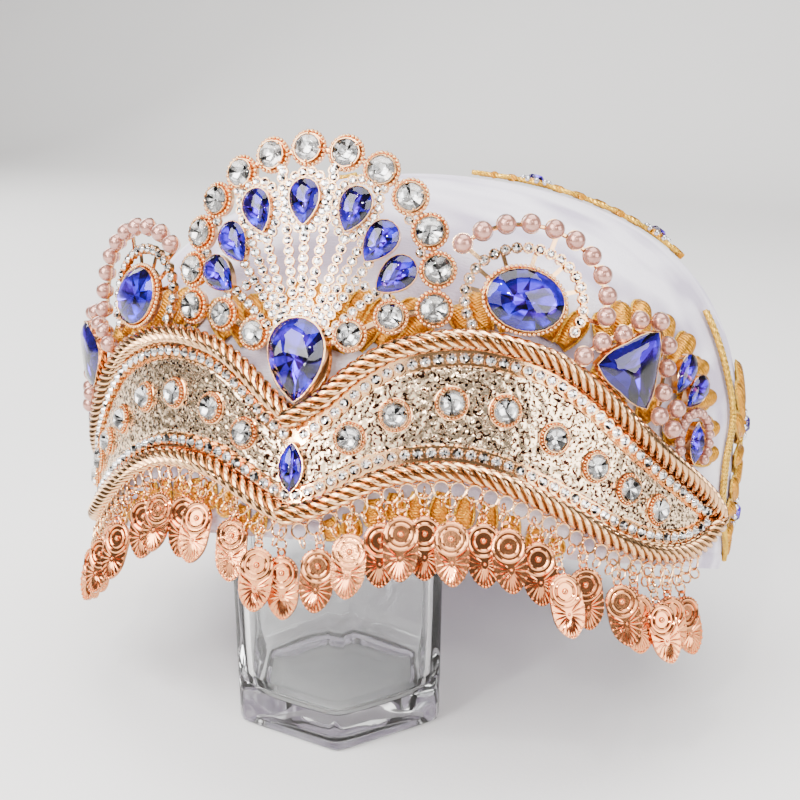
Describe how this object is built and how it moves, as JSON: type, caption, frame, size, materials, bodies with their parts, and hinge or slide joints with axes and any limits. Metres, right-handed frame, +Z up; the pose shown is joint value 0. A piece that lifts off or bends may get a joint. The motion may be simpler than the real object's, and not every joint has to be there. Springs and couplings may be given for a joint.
{
  "type": "dance crown on a glass jar stand",
  "caption": "White velvet dance cap with a jewelled gold front of arched wings, stone fan and leaf fringe, resting on a six-sided glass jar.",
  "frame": {"origin": "centre of the jar's foot, on the surface that it stands on", "axes": "+Z up out of the surface, -Y towards the crown's jewelled front, +X towards the wearer's left"},
  "size_m": [0.2112, 0.2214, 0.1817],
  "materials": {
    "white_velvet": "crushed white velvet with a soft lavender shade",
    "gold_bullion": "padded gold metal thread embroidery, bright and wound",
    "rose_gold": "polished rose gold plating, hammered on the plates",
    "crystal": "cut clear rhinestone in a gold cup",
    "blue_glass": "cut cobalt blue glass with a thin gold rim",
    "pearl": "pinkish white imitation pearl",
    "clear_glass": "clear pressed glass"
  },
  "bodies": {
    "root": {"cap": "white_velvet", "wing_left": "rose_gold", "wing_right": "rose_gold", "wing_chain_left": "crystal", "wing_chain_right": "crystal", "wing_stone_left_1": "crystal", "wing_stone_left_2": "crystal", "wing_stone_left_3": "crystal", "wing_stone_left_4": "crystal", "wing_stone_left_5": "crystal", "wing_stone_left_6": "crystal", "wing_stone_left_7": "crystal", "wing_stone_left_8": "crystal", "wing_stone_right_1": "crystal", "wing_stone_right_2": "crystal", "wing_stone_right_3": "crystal", "wing_stone_right_4": "crystal", "wing_stone_right_5": "crystal", "wing_stone_right_6": "crystal", "wing_stone_right_7": "crystal", "wing_stone_right_8": "crystal", "navette_stone": "blue_glass", "teardrop_stone": "blue_glass", "fan_frame": "rose_gold", "fan_pear_1": "blue_glass", "fan_pear_2": "blue_glass", "fan_pear_3": "blue_glass", "fan_pear_4": "blue_glass", "fan_pear_5": "blue_glass", "fan_pear_6": "blue_glass", "fan_pear_7": "blue_glass", "medallion_frame_left": "rose_gold", "oval_stone_left": "blue_glass", "pearl_arc_left": "pearl", "trillion_stone_left": "blue_glass", "pearl_cluster_left": "pearl", "side_pears_left": "blue_glass", "marquise_stone_left": "blue_glass", "small_pearl_loop_left": "pearl", "side_embroidery_left": "gold_bullion", "hem_embroidery_left": "gold_bullion", "side_motif_left": "gold_bullion", "top_motif_left": "gold_bullion", "fringe_left": "rose_gold", "medallion_frame_right": "rose_gold", "oval_stone_right": "blue_glass", "pearl_arc_right": "pearl", "trillion_stone_right": "blue_glass", "pearl_cluster_right": "pearl", "side_pears_right": "blue_glass", "marquise_stone_right": "blue_glass", "small_pearl_loop_right": "pearl", "side_embroidery_right": "gold_bullion", "hem_embroidery_right": "gold_bullion", "side_motif_right": "gold_bullion", "top_motif_right": "gold_bullion", "fringe_right": "rose_gold", "fan_embroidery": "gold_bullion", "jar": "clear_glass"}
  },
  "joints": []
}
